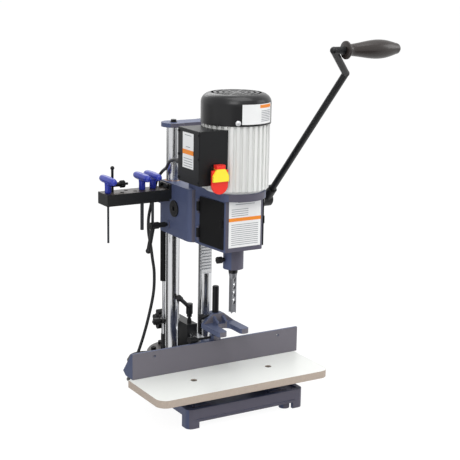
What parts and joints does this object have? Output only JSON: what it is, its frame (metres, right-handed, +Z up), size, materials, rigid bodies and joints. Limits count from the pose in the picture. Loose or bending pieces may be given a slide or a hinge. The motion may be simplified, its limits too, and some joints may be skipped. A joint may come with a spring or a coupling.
{
  "type": "benchtop mortiser",
  "caption": "Benchtop hollow-chisel mortiser with cast base, twin columns, rack-fed motor head, feed lever, fence with hold-down fork, tool rack and side switch box.",
  "frame": {"origin": "centre of the four bench bolt holes, on the bench surface", "axes": "+Z up, -Y towards the operator, +X to the operator's right"},
  "size_m": [0.534, 0.6946, 0.8916],
  "materials": {
    "blue_grey_paint": "semi-gloss enamel over casting",
    "black_paint": "semi-gloss black enamel",
    "black_oxide": "black oxide",
    "white_laminate": "white melamine over board",
    "ground_steel": "ground and polished",
    "chromed_steel": "hard chromed",
    "black_rubber": "matte",
    "black_plastic": "moulded, fine grain",
    "bronze": "sintered",
    "cast_aluminium": "silver paint",
    "red_plastic": "moulded",
    "yellow_plastic": "moulded",
    "blue_plastic": "moulded",
    "tool_steel": "ground"
  },
  "bodies": {
    "root": {"base_casting": "blue_grey_paint", "column_foot": "black_paint", "foot_bolts": "black_oxide", "table_spacers": "black_oxide", "table_board": "white_laminate", "table_bolts": "black_oxide", "fence_block": "black_paint", "column_left": "ground_steel", "column_rack": "ground_steel", "top_plate": "blue_grey_paint", "top_bolts": "black_oxide", "spring_rod": "chromed_steel", "cord_free": "black_rubber", "cord_coil": "black_rubber", "cord_plug": "black_plastic"},
    "head": {"head_casting": "blue_grey_paint", "column_bushes": "bronze", "pinion_cap": "black_plastic", "spring_body": "black_paint", "end_bell": "cast_aluminium", "motor_body": "cast_aluminium", "stator": "black_oxide", "motor_bearings": "ground_steel", "fan_cover": "black_paint", "junction_box": "black_paint", "side_panel": "black_paint", "panel_screws": "black_oxide", "switch_body": "black_plastic", "capacitor": "black_plastic", "cord_gland": "black_rubber", "tool_rack": "black_paint", "rack_bolts": "black_oxide", "chisel": "tool_steel"},
    "fence_slide_body": {"fence": "blue_grey_paint", "fence_bar": "ground_steel"},
    "feed_knob": {"feed_knob": "black_plastic"},
    "post": {"hold_down_post": "black_oxide"},
    "post_knob": {"post_knob": "black_plastic"},
    "fork": {"fork": "blue_grey_paint"},
    "fork_knob": {"fork_knob": "black_plastic"},
    "stop_collar": {"stop_collar": "black_plastic"},
    "block_lever": {"block_lever": "black_plastic"},
    "pinion": {"feed_pinion": "ground_steel"},
    "lever": {"lever_boss": "black_paint", "lever_rod": "black_paint"},
    "grip": {"lever_grip": "black_plastic"},
    "head_lock": {"head_lock": "black_plastic"},
    "spindle": {"rotor": "ground_steel", "cooling_fan": "black_plastic", "chuck": "tool_steel", "auger_bit": "tool_steel"},
    "paddle": {"switch_paddle": "red_plastic"},
    "key": {"switch_key": "yellow_plastic"},
    "hex_key_1": {"hex_key_1": "blue_plastic"},
    "hex_key_2": {"hex_key_2": "blue_plastic"},
    "hex_key_3": {"hex_key_3": "blue_plastic"},
    "chuck_key": {"chuck_key": "black_oxide"},
    "left_door": {"left_door": "black_plastic"},
    "right_door": {"right_door": "black_plastic"},
    "chisel_knob": {"chisel_knob": "black_plastic"}
  },
  "joints": [
    {"name": "head_feed", "type": "slide", "parent": "root", "child": "head", "axis": [0, 0, 1], "range_m": [-0.082, 0]},
    {"name": "pinion_turn", "type": "hinge", "parent": "head", "child": "pinion", "pos_m": [0.046, 0.085, 0.4715], "axis": [1, 0, 0], "range_deg": [0, 95]},
    {"name": "lever_index", "type": "hinge", "parent": "pinion", "child": "lever", "pos_m": [0.1847, 0.085, 0.4715], "axis": [1, 0, 0], "range_deg": [-100, 0]},
    {"name": "grip_spin", "type": "hinge", "parent": "lever", "child": "grip", "pos_m": [0.194, -0.2817, 0.8707], "axis": [1, 0, 0], "continuous": true},
    {"name": "spindle_spin", "type": "hinge", "parent": "head", "child": "spindle", "pos_m": [0, -0.07, 0.5], "axis": [0, 0, 1], "continuous": true},
    {"name": "head_lock_turn", "type": "hinge", "parent": "head", "child": "head_lock", "pos_m": [-0.09, 0.1174, 0.427], "axis": [1, 0, 0], "range_deg": [-60, 0]},
    {"name": "left_door_swing", "type": "hinge", "parent": "head", "child": "left_door", "pos_m": [-0.06514, -0.01542, 0.465], "axis": [0, 0, 1], "range_deg": [-100, 0]},
    {"name": "right_door_swing", "type": "hinge", "parent": "head", "child": "right_door", "pos_m": [0.06514, -0.01542, 0.465], "axis": [0, 0, 1], "range_deg": [0, 100]},
    {"name": "chisel_knob_turn", "type": "hinge", "parent": "head", "child": "chisel_knob", "pos_m": [-0.03, -0.07, 0.376], "axis": [1, 0, 0], "continuous": true},
    {"name": "paddle_press", "type": "hinge", "parent": "head", "child": "paddle", "pos_m": [-0.081, -0.1342, 0.6], "axis": [1, 0, 0], "range_deg": [0, 4]},
    {"name": "key_pull", "type": "slide", "parent": "paddle", "child": "key", "axis": [0, -1, 0], "range_m": [0, 0.02]},
    {"name": "fence_feed", "type": "slide", "parent": "root", "child": "fence_slide_body", "axis": [0, 1, 0], "range_m": [-0.02, 0.06]},
    {"name": "feed_knob_turn", "type": "hinge", "parent": "root", "child": "feed_knob", "pos_m": [-0.03, 0.24, 0.14785], "axis": [1, 0, 0], "range_deg": [-135, 400]},
    {"name": "block_lever_turn", "type": "hinge", "parent": "root", "child": "block_lever", "pos_m": [0, 0.138, 0.17], "axis": [0, 0, 1], "range_deg": [0, 60]},
    {"name": "post_lift", "type": "slide", "parent": "fence_slide_body", "child": "post", "axis": [0, 0, 1], "range_m": [0, 0.04]},
    {"name": "post_knob_turn", "type": "hinge", "parent": "fence_slide_body", "child": "post_knob", "pos_m": [-0.06, 0.009, 0.162], "axis": [1, 0, 0], "continuous": true},
    {"name": "fork_lift", "type": "slide", "parent": "post", "child": "fork", "axis": [0, 0, 1], "range_m": [-0.0225, 0.06]},
    {"name": "fork_knob_turn", "type": "hinge", "parent": "fork", "child": "fork_knob", "pos_m": [-0.04, 0.009, 0.217], "axis": [1, 0, 0], "continuous": true},
    {"name": "stop_slide", "type": "slide", "parent": "root", "child": "stop_collar", "axis": [0, 0, 1], "range_m": [-0.025, 0]},
    {"name": "hex_key_1_lift", "type": "slide", "parent": "head", "child": "hex_key_1", "axis": [0, 0, 1], "range_m": [0, 0.15]},
    {"name": "hex_key_2_lift", "type": "slide", "parent": "head", "child": "hex_key_2", "axis": [0, 0, 1], "range_m": [0, 0.13]},
    {"name": "hex_key_3_lift", "type": "slide", "parent": "head", "child": "hex_key_3", "axis": [0, 0, 1], "range_m": [0, 0.13]},
    {"name": "chuck_key_lift", "type": "slide", "parent": "head", "child": "chuck_key", "axis": [0, 0, 1], "range_m": [0, 0.04]}
  ],
  "couplings": [
    {"joint": "pinion_turn", "follows": "head_feed", "rad_per_m": -20},
    {"joint": "feed_knob_turn", "follows": "fence_feed", "rad_per_m": 114.29}
  ]
}
